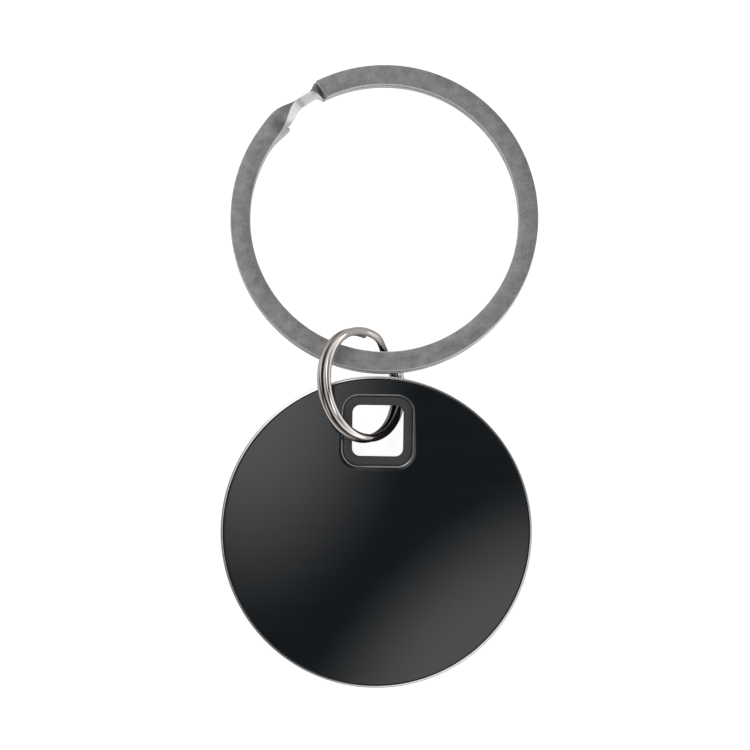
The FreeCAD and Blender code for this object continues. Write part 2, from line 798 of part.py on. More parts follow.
def make_buzzer():
    """Piezo sounder glued under the face: brass disc, ceramic disc and two contact springs."""
    sheet = D["sheet_thick"]
    brass_bottom = D["face_inner_z"] - sheet
    add_disc("buzzer_disc", D["buzzer_y"], brass_bottom, D["buzzer_radius"], sheet)
    add_disc("buzzer_ceramic", D["buzzer_y"], brass_bottom - sheet, D["ceramic_radius"], sheet)
    top = D["floor_top"] + D["board_thick"]
    springs = []
    heights = (brass_bottom - sheet - top, brass_bottom - top)
    for index, (centre_x, height) in enumerate(zip((ZERO, D["spring_x"]), heights)):
        springs.append(bent_spring("buzzer_spring_%d" % index, centre_x, height))
    add_group("buzzer_springs", springs)


def bent_spring(name, centre_x, height):
    """C-shaped leaf spring that stands on the board: foot, riser and contact arm."""
    thick, width, reach = D["contact_thick"], D["spring_width"], D["spring_reach"]
    centre_y = D["buzzer_y"]
    board_top = D["floor_top"] + D["board_thick"]
    level = board_top + height - thick
    foot = add_box(name + "_foot", centre_x, centre_y, board_top, width, reach, thick)
    arm = add_box(name + "_arm", centre_x, centre_y, level, width, reach, thick)
    riser_y = centre_y - reach / 2 + thick / 2
    riser = add_box(name + "_riser", centre_x, riser_y, board_top, width, thick, height)
    return add_fuse(name, [foot, arm, riser])


def make_battery_contacts():
    """Finger that presses the cap's middle, and a side clip that presses the can's wall."""
    board_bottom = D["floor_top"]
    thick = D["contact_thick"]
    cap_top = D["cell_bottom"] + D["cell_height"]
    centre_y = D["bay_centre"]
    side, tip_length = D["finger_base_side"], D["finger_tip_length"]
    base = add_box("finger_base", D["finger_base_x"], centre_y, board_bottom - thick, side, side, thick)
    tip = add_box("finger_tip", D["finger_tip_x"], centre_y, cap_top, tip_length, D["finger_width"], thick)
    start_x = D["finger_base_x"] + side / 2 - OVERLAP
    end_x = D["finger_tip_x"] - tip_length / 2 + OVERLAP
    slope = sloped_strip("finger_arm", start_x.value, end_x.value, board_bottom.value - thick.value,
                         cap_top.value)
    add_fuse("negative_contact", [base, slope, tip])
    side_x = D["cell_radius"] + D["clip_gap"]
    blade = add_box("clip_blade", side_x + thick / 2, centre_y, D["clip_bottom"], thick, D["clip_width"],
                    board_bottom - D["clip_bottom"])
    shelf = add_box("clip_shelf", side_x + thick - D["clip_shelf"] / 2, centre_y, board_bottom - thick,
                    D["clip_shelf"], D["clip_width"], thick)
    add_fuse("positive_contact", [blade, shelf])


def sloped_strip(name, start_x, end_x, start_z, end_z):
    """Thin flat strip over the battery bay that slopes from one height to another."""
    thick, width, centre_y = D["contact_thick"].value, D["finger_width"].value, D["bay_centre"].value
    strip = doc.addObject("Part::Wedge", name)
    strip.Xmin, strip.Xmax = 0, width
    strip.X2min, strip.X2max = 0, width
    strip.Ymin, strip.Ymax = 0, math.hypot(end_x - start_x, start_z - end_z)
    strip.Zmin, strip.Zmax = 0, thick
    strip.Z2min, strip.Z2max = 0, thick
    drop = math.degrees(math.atan2(end_z - start_z, end_x - start_x))
    turn = FreeCAD.Rotation(FreeCAD.Vector(0, 1, 0), -drop) * FreeCAD.Rotation(VERTICAL, -90)
    strip.Placement = FreeCAD.Placement(FreeCAD.Vector(start_x, centre_y + width / 2, start_z), turn)
    return strip


# ---------------------------------------------------------------- rings
def section_sketch(body, name, angle):
    """A sketch in the upright plane through the body's axis, turned about that axis."""
    sketch = add_sketch(body, name, "XZ_Plane")
    turn = FreeCAD.Rotation(FreeCAD.Vector(0, 1, 0), angle)
    sketch.AttachmentOffset = FreeCAD.Placement(FreeCAD.Vector(0, 0, 0), turn)
    sketch.Visibility = False
    return sketch


def wind_split_ring(label, sweeps, level, late, draw_section):
    """Split ring: an upper coil, a crossing down to the other level, and a lower coil.

    Angles run clockwise, seen from above, from the upper coil's cut end.  draw_section draws the
    section on a sketch from its height and its share of the crossing.
    """
    body = add_body(label)
    front, cross, back = sweeps
    upper = section_sketch(body, label + "_upper", 0)
    draw_section(upper, level, 0)
    spin(body, upper, angle=front, backwards=True)
    lower = section_sketch(body, label + "_lower", -(front + cross))
    draw_section(lower, -level, 1)
    spin(body, lower, angle=back, backwards=True)
    sections = []
    for step in range(CROSS_STEPS + 1):
        share = step / CROSS_STEPS
        angle = -(front + cross * share ** (1 / late))
        sections.append(section_sketch(body, "%s_cross_%d" % (label, step), angle))
        draw_section(sections[-1], level * math.cos(math.pi * share), share)
    crossing = body.newObject("PartDesign::AdditiveLoft", label + "_crossing")
    crossing.Profile = sections[0]
    crossing.Sections = sections[1:]
    return body


def draw_wire(sketch, height, share):
    draw_circle(sketch, D["link_radius"], height, D["link_wire_radius"])


def make_link_ring():
    """Small split ring of round wire, turned onto its edge; its lowest point touches the table.

    Its long axis leans left of +Y, and the ring is tilted about that axis.
    """
    level = D["link_wire_radius"] + D["link_coil_gap"] / 2
    body = wind_split_ring("link_ring", LINK_SWEEPS, level, LINK_LATE, draw_wire)
    tilt = math.radians(D["link_tilt"].value)
    rise = D["link_radius"].value * math.sin(tilt) + level.value * math.cos(tilt)
    centre_z = rise + D["link_wire_radius"].value
    centre = FreeCAD.Vector(D["link_centre_x"].value, D["link_centre_y"].value, centre_z)
    lean = FreeCAD.Rotation(VERTICAL, D["link_lean"].value)
    onto_edge = FreeCAD.Rotation(FreeCAD.Vector(0, 1, 0), D["link_tilt"].value)
    split = FreeCAD.Rotation(VERTICAL, D["link_split_angle"].value)
    body.Placement = FreeCAD.Placement(centre, lean * onto_edge * split)
    return body


def draw_strip(sketch, height, share):
    """The strip's chamfered section about the mid radius, rolled about its own centre."""
    middle = D["key_outer_radius"] - D["key_strip_width"] / 2
    across, up, cut = D["key_strip_width"] / 2, D["key_strip_thick"] / 2, D["key_strip_chamfer"]
    corners = [(across - cut, up), (across, up - cut), (across, -(up - cut)), (across - cut, -up),
               (-(across - cut), -up), (-across, -(up - cut)), (-across, up - cut), (-(across - cut), up)]
    roll = math.radians(KEY_ROLL * math.sin(math.pi * share) ** 2)
    cos, sin = math.cos(roll), math.sin(roll)
    draw_outline(sketch, [(middle + x * cos - y * sin, height + x * sin + y * cos) for x, y in corners])


def make_key_ring():
    """Flat split ring whose strip turns on edge where it crosses from coil to coil."""
    level = (D["key_strip_thick"] + D["key_coil_gap"]) / 2
    body = wind_split_ring("key_ring", KEY_SWEEPS, level, KEY_LATE, draw_strip)
    body.Placement = key_ring_placement()
    return body


def key_ring_placement():
    """The far side lies on the table and the near side rests on the wire ring."""
    lean = math.radians(D["key_lean_back"].value)
    lowest = D["key_strip_thick"].value + D["key_coil_gap"].value / 2
    centre_z = D["key_outer_radius"].value * math.sin(lean) + lowest * math.cos(lean)
    centre = FreeCAD.Vector(D["key_centre_x"].value, D["key_centre_y"].value, centre_z)
    tip_back = FreeCAD.Rotation(FreeCAD.Vector(1, 0, 0), -D["key_lean_back"].value)
    split = FreeCAD.Rotation(VERTICAL, D["key_split_angle"].value)
    return FreeCAD.Placement(centre, tip_back * split)


# ---------------------------------------------------------------- build and export
NODES = (
    "back_housing", "edge_band", "hole_frame", "face_plate", "face_gasket", "battery_door",
    "coin_cell_can", "coin_cell_seal", "coin_cell_cap", "circuit_board", "radio_chip", "crystals",
    "chip_antenna", "passive_parts", "switch_tray", "switch_dome", "switch_plunger", "switch_cover",
    "buzzer_disc", "buzzer_ceramic", "buzzer_springs", "negative_contact", "positive_contact",
    "link_ring", "key_ring",
)


def build_everything():
    make_back_housing()
    make_edge_band()
    make_hole_frame()
    make_face_plate()
    make_face_gasket()
    make_battery_door()
    make_coin_cell()
    make_circuit_board()
    make_board_parts()
    make_switch()
    make_buzzer()
    make_battery_contacts()
    make_link_ring()
    make_key_ring()
    doc.recompute()


def check_everything():
    """Stop on a failed feature or a shape that isn't sound."""
    for item in doc.Objects:
        bad = [state for state in item.State if state in ("Invalid", "Error")]
        if bad:
            raise RuntimeError("%s failed: %s" % (item.Name, item.State))
    for name in NODES:
        shape = doc.getObject(name).Shape
        if shape.isNull() or not shape.isValid() or not shape.Solids:
            raise RuntimeError("%s has no sound shape" % name)
        print("%-18s solids %2d  volume %9.3f" % (name, len(shape.Solids), shape.Volume))


def export_everything():
    os.makedirs("parts", exist_ok=True)
    for name in NODES:
        doc.getObject(name).Shape.exportStep("parts/%s.step" % name)


build_everything()
check_everything()
export_everything()
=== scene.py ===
import json
import math

import bpy
from mathutils import Matrix, Vector


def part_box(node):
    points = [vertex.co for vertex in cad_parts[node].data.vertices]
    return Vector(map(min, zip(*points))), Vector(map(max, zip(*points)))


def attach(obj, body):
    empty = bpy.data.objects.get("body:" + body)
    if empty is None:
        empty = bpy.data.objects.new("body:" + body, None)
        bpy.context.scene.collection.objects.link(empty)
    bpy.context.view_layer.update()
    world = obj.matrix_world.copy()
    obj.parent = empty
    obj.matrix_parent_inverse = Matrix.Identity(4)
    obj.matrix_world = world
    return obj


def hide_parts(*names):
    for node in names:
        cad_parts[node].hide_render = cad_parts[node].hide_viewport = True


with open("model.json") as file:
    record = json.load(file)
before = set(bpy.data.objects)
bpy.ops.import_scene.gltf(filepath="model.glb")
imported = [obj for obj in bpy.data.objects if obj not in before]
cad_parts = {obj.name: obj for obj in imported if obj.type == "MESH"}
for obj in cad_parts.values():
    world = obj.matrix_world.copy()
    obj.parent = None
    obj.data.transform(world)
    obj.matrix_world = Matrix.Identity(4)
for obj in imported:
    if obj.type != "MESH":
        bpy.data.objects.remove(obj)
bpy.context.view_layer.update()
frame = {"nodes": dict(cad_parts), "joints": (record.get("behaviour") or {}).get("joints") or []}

MM = 0.001
MM_PER_METRE = 1000
UP = Vector((0, 0, 1))

# ---------------------------------------------------------------- sizes read from the frame
_, FACE_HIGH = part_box("face_plate")
BAND_LOW, BAND_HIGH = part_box("edge_band")
LINER_LOW, LINER_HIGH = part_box("hole_frame")
KEY_LOW, KEY_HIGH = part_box("key_ring")
JOINTS = {joint["name"]: joint for joint in frame["joints"]}

# glossy face: its dome meets the edge at EDGE_Z, its rim stands on RIM_Z, and its underside is
# recessed up to INNER_Z within INNER_RADIUS
FACE_RADIUS = FACE_HIGH.x
FACE_CROWN = FACE_HIGH.z
FACE_EDGE_Z = 4.72 * MM
FACE_RIM_Z = 4.27 * MM
FACE_INNER_Z = 4.55 * MM
FACE_INNER_RADIUS = 12.95 * MM
FACE_ROUND = 0.1 * MM
FACE_ROUND_STEPS = 5
DOME_STEPS = 48

# the face's square aperture: a wall, then a bevel whose rings lie at shares of its width; the
# bevel's faces are the strips of the skin between rings 2 and 5
HOLE_Y = (LINER_LOW.y + LINER_HIGH.y) / 2
APERTURE_SIDE = 6.98 * MM
APERTURE_CORNER = 1.6 * MM
BEVEL_WIDTH = 0.14 * MM
BEVEL_DEPTH = 0.08 * MM
BEVEL_SHARES = (0.0, 0.12, 0.88, 1.0)
BEVEL_STRIPS = range(2, 5)
WALL_TOP_SINK = 3 * BEVEL_DEPTH

# liner of the square hole: its flange is a little narrower than the CAD's
FLANGE_TRIM = 0.2 * MM
FLANGE_SIDE = LINER_HIGH.x - LINER_LOW.x - FLANGE_TRIM
FLANGE_CORNER = 1.5 * MM
FLANGE_ROUND = 0.05 * MM
FLANGE_ROUND_STEPS = 3
FLANGE_BOTTOM = 3.7 * MM
FLANGE_SINK = 0.14 * MM
SLEEVE_SIDE = 6.06 * MM
SLEEVE_CORNER = 1.25 * MM
HOLE_SIDE = 5.1 * MM
HOLE_CORNER = 0.8 * MM
HOLE_CHAMFER = 0.05 * MM
MOUTH_ROUND = 0.14 * MM
MOUTH_ROUND_STEPS = 5
HOLE_WALL_SINK = FLANGE_SINK + 1.5 * MOUTH_ROUND

# polished band: its top slopes up, by BAND_SLOPE degrees, to a thin lip round the face
BAND_RADIUS = BAND_HIGH.x
BAND_INNER = 15.03 * MM
BAND_LIP = 0.23 * MM
BAND_STEP = 4.05 * MM
BAND_ROUND = 0.07 * MM
BAND_SLOPE = 38.0
BAND_SHOULDER = 0.22 * MM
LIP_CHAMFER = 0.03 * MM
LIP_DROP = 0.05 * MM

# wire split ring: its centre and long axis are those of its joint, and its sweeps are in degrees
LINK_WIRE = 0.4 * MM
LINK_COIL_GAP = 0.02 * MM
LINK_RADIUS = 5.39 * MM
LINK_TILT = math.radians(47.75)
LINK_SPLIT = math.radians(22)
LINK_UPPER_SWEEP = 324.0
LINK_CROSS_SWEEP = 33.0
LINK_LOWER_SWEEP = 321.0
LINK_END_BEVEL = 0.08 * MM
# painted shade: the dark colour painted on the wire where its two coils lie together, and the heights off
# that gap, in mm, over which it fades to the plating
PAINTED_GAP_SHADE = (0.06, 0.045, 0.04)
PAINTED_GAP_SHADE_REACH = (0.06, 0.36)
LINK_CENTRE = Vector(JOINTS["link_ring_swivel"]["pos_m"])
LINK_AXIS = Vector(JOINTS["link_ring_swivel"]["axis"])

# flat split ring: its sweeps are in degrees, and the roll, fall and drop of the strip start and end
# at shares of the crossing's sweep
KEY_STRIP_WIDTH = 2.0 * MM
KEY_STRIP_THICK = 1.0 * MM
KEY_COIL_GAP = 0.04 * MM
KEY_OUTER = (KEY_HIGH.x - KEY_LOW.x) / 2
KEY_MIDDLE = KEY_OUTER - KEY_STRIP_WIDTH / 2
KEY_LEAN = math.radians(4.05)
KEY_SPLIT = math.radians(116.9)
KEY_EDGE_ROUND = 0.06 * MM
KEY_END_BEVEL = 0.15 * MM
KEY_END_INSET = 0.1 * MM
FRONT_SWEEP = 331.7
CROSS_SWEEP = 27.8
BACK_SWEEP = 340.7
COIL_STEP = 1.0
CROSS_STEP = 0.4
CROSS_ROLL = math.radians(85)
ROLL_START = -0.04
ROLL_FULL = 0.68
ROLL_LATE = 1.4
FALL_START = 0.82
FALL_LATE = 3
DROP_START = 0.3
DROP_END = 0.72
ROLL_INWARD = 0.1 * MM
TIP_POLISH_SWEEP = 15.0
TIP_DRIFT = 0.35 * MM
TIP_SWEEP = 14.0
COIL_SLIP = 0.12 * MM
COIL_SLIP_TOWARDS = math.radians(256)
CUT_SKEW = math.radians(1.4)
CUT_SKEW_SWEEP = 8.0

# camera: straight above a point of the object, with the picture's width at that point's height
PICTURE_WIDTH = 74.76 * MM
CAMERA_HEIGHT = 0.6
CAMERA_OVER = Vector((-0.362 * MM, 15.656 * MM, 4.6 * MM))
CAMERA_ROLL = math.radians(0.85)
SENSOR_WIDTH = 36.0

# surfaces: noise stays mostly between its low and its high
NOISE_LOW = 0.3
NOISE_HIGH = 0.7
GRAIN_DEPTH = 0.01 * MM
WEAR_SCALE = 0.35
SPECKLE_SHARE = 0.65

# studio: a tent that is dark overhead, two soft boxes and a flag that takes light away. A box lies
# at a distance off the zenith towards a direction in degrees, slid along its own length, and glows
# fully over its core. Distances, slides and sizes are parts of a unit direction.
FLOOR_SIZE = 6.0
FLOOR_DROP = 0.02 * MM
FLOOR_GLOW = 0.9
TENT_LEVEL = 1.15
OVERHEAD_LEVEL = 0.05
TENT_RISE = 1.5
TENT_SIDEWAYS = 0.35
SOFT_CORE = 0.3
SOFT_BOXES = (
    dict(distance=0.405, towards=98.0, slide=-0.255, half_long=0.4, half_deep=0.62, level=1.72),
    dict(distance=0.375, towards=-43.0, slide=0.075, half_long=0.57, half_deep=0.305, level=1.47),
)
FLAG = dict(distance=0.5, towards=180.0, slide=0.0, half_long=0.7, half_deep=0.24, level=0.95)


# ---------------------------------------------------------------- mesh tools
def object_from(name, vertices, faces, smooth=True):
    """New object with a mesh of the given vertices and faces, in the scene."""
    mesh = bpy.data.meshes.new(name)
    mesh.from_pydata([tuple(v) for v in vertices], [], faces)
    mesh.validate()
    mesh.update()
    if smooth:
        mesh.shade_smooth()
    piece = bpy.data.objects.new(name, mesh)
    bpy.context.scene.collection.objects.link(piece)
    return piece


def weight_normals(piece):
    """Large flat faces keep their own shading next to narrow rounded edges."""
    modifier = piece.modifiers.new("weighted_normals", "WEIGHTED_NORMAL")
    modifier.mode = "FACE_AREA"
    modifier.weight = 80


def skin_rings(rings, close_along=False):
    """Vertices and quads of a skin over rings that all have the same number of points."""
    count = len(rings[0])
    vertices = [point for ring in rings for point in ring]
    faces = []
    last_ring = len(rings) if close_along else len(rings) - 1
    for i in range(last_ring):
        j = (i + 1) % len(rings)
        for a in range(count):
            b = (a + 1) % count
            faces.append((i * count + a, i * count + b, j * count + b, j * count + a))
    return vertices, faces


def arc_points(centre, radius, start, end, steps):
    """Points of an arc in a profile's plane, angles in degrees."""
    points = []
    for step in range(steps + 1):
        angle = math.radians(start + (end - start) * step / steps)
        points.append((centre[0] + radius * math.cos(angle), centre[1] + radius * math.sin(angle)))
    return points


def lathe(profile, segments=360):
    """Rings of a closed profile of (radius, height) points turned about Z."""
    rings = []
    for step in range(segments):
        angle = 2 * math.pi * step / segments
        cos, sin = math.cos(angle), math.sin(angle)
        rings.append([(r * cos, r * sin, z) for r, z in profile])
    return rings


def square_loop(side, corner, per_side=28, per_corner=28):
    """Rounded square about the hole's centre, anticlockwise, evenly indexed for every size."""
    inner = side / 2 - corner
    centres = ((inner, inner), (-inner, inner), (-inner, -inner), (inner, -inner))
    points = []
    for quarter, (cx, cy) in enumerate(centres):
        for step in range(per_corner + 1):
            angle = math.pi / 2 * (quarter + step / per_corner)
            points.append((cx + corner * math.cos(angle), HOLE_Y + cy + corner * math.sin(angle)))
        nx, ny = centres[(quarter + 1) % 4]
        angle = math.pi / 2 * (quarter + 1)
        ox, oy = corner * math.cos(angle), corner * math.sin(angle)
        for step in range(1, per_side):
            share = step / per_side
            points.append((cx + (nx - cx) * share + ox, HOLE_Y + cy + (ny - cy) * share + oy))
    return points


def on_circle(point, radius):
    """Where the ray from the hole's centre through a point meets the circle about the tag's axis."""
    dx, dy = point[0], point[1] - HOLE_Y
    length = math.hypot(dx, dy)
    dx, dy = dx / length, dy / length
    along = -HOLE_Y * dy
    reach = along + math.sqrt(along * along + radius * radius - HOLE_Y * HOLE_Y)
    return reach * dx, HOLE_Y + reach * dy


def dome_z(x, y, sink=0.0):
    """Height of the face's dome, a part of a sphere, or of a surface sunk below it."""
    sag = FACE_CROWN - FACE_EDGE_Z
    radius = (FACE_RADIUS ** 2 + sag ** 2) / (2 * sag)
    return FACE_CROWN - radius + math.sqrt(radius ** 2 - x * x - y * y) - sink


def at_height(loop, z):
    return [(x, y, z) for x, y in loop]


def on_dome(loop, sink=0.0):
    return [(x, y, dome_z(x, y, sink)) for x, y in loop]


def farther(first, second):
    """Of two evenly indexed loops, the points that lie farther from the hole's centre."""
    pairs = zip(first, second)
    return [max(pair, key=lambda point: math.hypot(point[0], point[1] - HOLE_Y)) for pair in pairs]


def between_loops(first, second, share):
    """Evenly indexed loop that lies a share of the way from the first loop to the second."""
    pairs = zip(first, second)
    return [(ax + (bx - ax) * share, ay + (by - ay) * share) for (ax, ay), (bx, by) in pairs]


def smoothstep(share):
    """Rise from 0 to 1 with a level start and end."""
    share = min(1.0, max(0.0, share))
    return share * share * (3 - 2 * share)


# ---------------------------------------------------------------- pieces
def make_face_cover():
    """Domed glossy cover: aperture wall, bevel, dome, rounded edge, rim and recessed underside."""
    window = square_loop(APERTURE_SIDE, APERTURE_CORNER)
    mouth = square_loop(APERTURE_SIDE + 2 * BEVEL_WIDTH, APERTURE_CORNER + BEVEL_WIDTH)
    outer = [on_circle(point, FACE_RADIUS - FACE_ROUND) for point in mouth]
    rings = [at_height(window, FACE_INNER_Z), on_dome(window, WALL_TOP_SINK)]
    for share in BEVEL_SHARES:
        widening = BEVEL_WIDTH * share
        loop = square_loop(APERTURE_SIDE + 2 * widening, APERTURE_CORNER + widening)
        rings.append(on_dome(loop, BEVEL_DEPTH * (1 - share)))
    for step in range(1, DOME_STEPS + 1):
        rings.append(on_dome(between_loops(mouth, outer, step / DOME_STEPS)))
    for step in range(1, FACE_ROUND_STEPS + 1):
        angle = math.pi / 2 * step / FACE_ROUND_STEPS
        radius = FACE_RADIUS - FACE_ROUND + FACE_ROUND * math.sin(angle)
        loop = [on_circle(point, radius) for point in mouth]
        drop = FACE_ROUND * (1 - math.cos(angle))
        rings.append(at_height(loop, dome_z(FACE_RADIUS - FACE_ROUND, 0) - drop))
    rim = [on_circle(point, FACE_RADIUS) for point in mouth]
    recess = farther([on_circle(point, FACE_INNER_RADIUS) for point in mouth], window)
    rings += [at_height(rim, FACE_RIM_Z), at_height(recess, FACE_RIM_Z), at_height(recess, FACE_INNER_Z)]
    piece = object_from("face_cover", *skin_rings(rings, close_along=True))
    for index, face in enumerate(piece.data.polygons):
        face.material_index = 1 if index // len(window) in BEVEL_STRIPS else 0
    weight_normals(piece)
    return piece


def make_hole_liner():
    """Satin sleeve with a flange that follows the dome just below the face."""
    hole = square_loop(HOLE_SIDE, HOLE_CORNER)
    rings = [at_height(hole, LINER_LOW.z + HOLE_CHAMFER), on_dome(hole, HOLE_WALL_SINK)]
    for step in range(MOUTH_ROUND_STEPS + 1):
        angle = math.pi / 2 * step / MOUTH_ROUND_STEPS
        widening = MOUTH_ROUND * (1 - math.cos(angle))
        loop = square_loop(HOLE_SIDE + 2 * widening, HOLE_CORNER + widening)
        rings.append(on_dome(loop, FLANGE_SINK + MOUTH_ROUND * (1 - math.sin(angle))))
    for step in range(FLANGE_ROUND_STEPS + 1):
        angle = math.pi / 2 * step / FLANGE_ROUND_STEPS
        shrink = FLANGE_ROUND * (1 - math.sin(angle))
        loop = square_loop(FLANGE_SIDE - 2 * shrink, FLANGE_CORNER - shrink)
        rings.append(on_dome(loop, FLANGE_SINK + FLANGE_ROUND * (1 - math.cos(angle))))
    flange = square_loop(FLANGE_SIDE, FLANGE_CORNER)
    sleeve = square_loop(SLEEVE_SIDE, SLEEVE_CORNER)
    chamfer = square_loop(HOLE_SIDE + 2 * HOLE_CHAMFER, HOLE_CORNER + HOLE_CHAMFER)
    rings += [at_height(flange, FLANGE_BOTTOM), at_height(sleeve, FLANGE_BOTTOM)]
    rings += [at_height(sleeve, LINER_LOW.z), at_height(chamfer, LINER_LOW.z)]
    piece = object_from("hole_liner", *skin_rings(rings, close_along=True))
    weight_normals(piece)
    return piece


def make_edge_band():
    """Polished band with rounded outer edges and a thin lip round the face."""
    top, bottom = BAND_HIGH.z, BAND_LOW.z
    lip = BAND_RADIUS - BAND_LIP
    rounded = BAND_RADIUS - BAND_ROUND
    shoulder = top - BAND_SHOULDER
    slope = math.radians(BAND_SLOPE)
    run = BAND_LIP - BAND_ROUND - LIP_CHAMFER + BAND_ROUND * math.sin(slope)
    ridge = shoulder + BAND_ROUND * math.cos(slope) + run * math.tan(slope)
    profile = [(BAND_INNER, bottom)]
    profile += arc_points((rounded, bottom + BAND_ROUND), BAND_ROUND, -90, 0, 6)
    profile += arc_points((rounded, shoulder), BAND_ROUND, 0, 90 - BAND_SLOPE, 5)
    profile += [(lip + LIP_CHAMFER, ridge), (lip, top - LIP_DROP)]
    profile += [(lip, BAND_STEP), (BAND_INNER, BAND_STEP)]
    piece = object_from("edge_band_ring", *skin_rings(lathe(profile), close_along=True))
    weight_normals(piece)
    return piece


def link_matrix():
    """The wire ring's place: flat in X and Y, then tilted about its long axis."""
    lean = math.atan2(-LINK_AXIS.x, LINK_AXIS.y)
    turn = Matrix.Rotation(lean, 4, "Z") @ Matrix.Rotation(LINK_TILT, 4, "Y")
    return Matrix.Translation(LINK_CENTRE) @ turn


def wire_circle(angle, wire, around=28):
    """Circle of the wire's section at an angle in degrees from the upper coil's end."""
    share = min(1.0, max(0.0, (angle - LINK_UPPER_SWEEP) / LINK_CROSS_SWEEP))
    height = (LINK_WIRE + LINK_COIL_GAP / 2) * math.cos(math.pi * share)
    place = LINK_SPLIT - math.radians(angle)
    out = Vector((math.cos(place), math.sin(place), 0))
    centre = out * LINK_RADIUS + UP * height
    circle = []
    for step in range(around):
        turn = 2 * math.pi * step / around
        circle.append(centre + (out * math.cos(turn) + UP * math.sin(turn)) * wire)
    return circle


def close_ends(faces, vertex_count, section_count):
    """Cap the first and the last section of a skin that runs from end to end."""
    faces.append(tuple(range(section_count - 1, -1, -1)))
    faces.append(tuple(range(vertex_count - section_count, vertex_count)))


def make_link_ring():
    """Round wire wound into two coils, one slanting across to the other near the ends."""
    end = LINK_UPPER_SWEEP + LINK_CROSS_SWEEP + LINK_LOWER_SWEEP
    bevel = math.degrees(LINK_END_BEVEL / LINK_RADIUS)
    steps = 480
    rings = [wire_circle(0, LINK_WIRE - LINK_END_BEVEL)]
    for step in range(steps + 1):
        rings.append(wire_circle(bevel + (end - 2 * bevel) * step / steps, LINK_WIRE))
    rings.append(wire_circle(end, LINK_WIRE - LINK_END_BEVEL))
    vertices, faces = skin_rings(rings)
    close_ends(faces, len(vertices), len(rings[0]))
    piece = object_from("link_wire_ring", vertices, faces)
    weight_normals(piece)
    piece.matrix_world = link_matrix()
    return piece


def strip_section(steps=4):
    """Outline of the flat strip's section, with rounded corners, as (across, up) offsets."""
    across = KEY_STRIP_WIDTH / 2 - KEY_EDGE_ROUND
    up = KEY_STRIP_THICK / 2 - KEY_EDGE_ROUND
    points = []
    for quarter, (sx, sy) in enumerate(((1, 1), (-1, 1), (-1, -1), (1, -1))):
        points += arc_points((sx * across, sy * up), KEY_EDGE_ROUND, quarter * 90, quarter * 90 + 90, steps)
    return points


def strip_roll(share):
    """The strip rolls up on edge through the crossing and falls flat again just before the cut."""
    rise = smoothstep((share - ROLL_START) / (ROLL_FULL - ROLL_START)) ** ROLL_LATE
    fall = min(1.0, max(0.0, (share - FALL_START) / (1 - FALL_START))) ** FALL_LATE
    return CROSS_ROLL * rise * (1 - fall)


def strip_state(angle):
    """Radius, height and roll of the strip's middle at an angle in degrees from the upper cut end."""
    share = min(1.0, (angle - FRONT_SWEEP) / CROSS_SWEEP)
    roll = strip_roll(share)
    half_height = KEY_STRIP_WIDTH / 2 * math.sin(roll) + KEY_STRIP_THICK / 2 * math.cos(roll)
    drop = smoothstep((share - DROP_START) / (DROP_END - DROP_START))
    underside = KEY_COIL_GAP / 2 - (KEY_STRIP_THICK + KEY_COIL_GAP) * drop
    end = FRONT_SWEEP + CROSS_SWEEP + BACK_SWEEP
    drift = TIP_DRIFT * smoothstep((angle - end + TIP_SWEEP) / TIP_SWEEP)
    inward = drift + ROLL_INWARD * math.sin(2 * roll)
    return KEY_MIDDLE - inward, underside + half_height, roll


def strip_ring(angle, section, inset=0.0):
    """The strip's section at an angle in degrees from the upper cut end."""
    radius, height, roll = strip_state(angle)
    slip = COIL_SLIP * smoothstep((angle - FRONT_SWEEP) / (2 * CROSS_SWEEP))
    offset = Vector((slip * math.cos(COIL_SLIP_TOWARDS), slip * math.sin(COIL_SLIP_TOWARDS), height))
    skew = CUT_SKEW * (1 - smoothstep(angle / CUT_SKEW_SWEEP))
    cos, sin = math.cos(roll), math.sin(roll)
    ring = []
    for across, up in section:
        place = KEY_SPLIT - math.radians(angle) + skew * across / KEY_STRIP_WIDTH
        out = Vector((math.cos(place), math.sin(place), 0))
        across *= 1 - inset / (KEY_STRIP_WIDTH / 2)
        up *= 1 - inset / (KEY_STRIP_THICK / 2)
        x = across * cos + up * sin
        z = -across * sin + up * cos
        ring.append(out * (radius + x) + UP * z + offset)
    return ring


def key_matrix():
    """The ring lies on its far edge and leans on the wire ring."""
    centre = Vector(((KEY_LOW.x + KEY_HIGH.x) / 2, (KEY_LOW.y + KEY_HIGH.y) / 2, 0))
    half_thick = KEY_STRIP_THICK + KEY_COIL_GAP / 2
    centre.z = KEY_OUTER * math.sin(KEY_LEAN) + half_thick * math.cos(KEY_LEAN)
    return Matrix.Translation(centre) @ Matrix.Rotation(-KEY_LEAN, 4, "X")


def strip_angles(end):
    """Angles of the strip's sections, closer together in the crossing."""
    bevel = math.degrees(KEY_END_BEVEL / KEY_MIDDLE)
    angles = [bevel]
    while angles[-1] < end - bevel:
        crossing = FRONT_SWEEP - COIL_STEP <= angles[-1] <= FRONT_SWEEP + CROSS_SWEEP
        step = CROSS_STEP if crossing else COIL_STEP
        angles.append(min(end - bevel, angles[-1] + step))
    return angles


def mark_ground_flats(piece, count):
    """Slot 0 for the strip's ground top and bottom, slot 1 for its sides, bevels and polished tip."""
    flats = {count // 4 - 1, 3 * count // 4 - 1}
    polished = round(TIP_POLISH_SWEEP / COIL_STEP)
    ground = range(count, len(piece.data.vertices) - polished * count)
    for index, face in enumerate(piece.data.polygons):
        face.material_index = 0 if index in ground and index % count in flats else 1


def make_key_ring():
    """Flat strip wound into two coils, turned on edge where it crosses between them."""
    section = strip_section()
    end = FRONT_SWEEP + CROSS_SWEEP + BACK_SWEEP
    rings = [strip_ring(0, section, KEY_END_INSET)]
    rings += [strip_ring(angle, section) for angle in strip_angles(end)]
    rings.append(strip_ring(end, section, KEY_END_INSET))
    vertices, faces = skin_rings(rings)
    close_ends(faces, len(vertices), len(section))
    piece = object_from("split_key_ring", vertices, faces)
    weight_normals(piece)
    piece.matrix_world = key_matrix()
    mark_ground_flats(piece, len(section))
    return piece


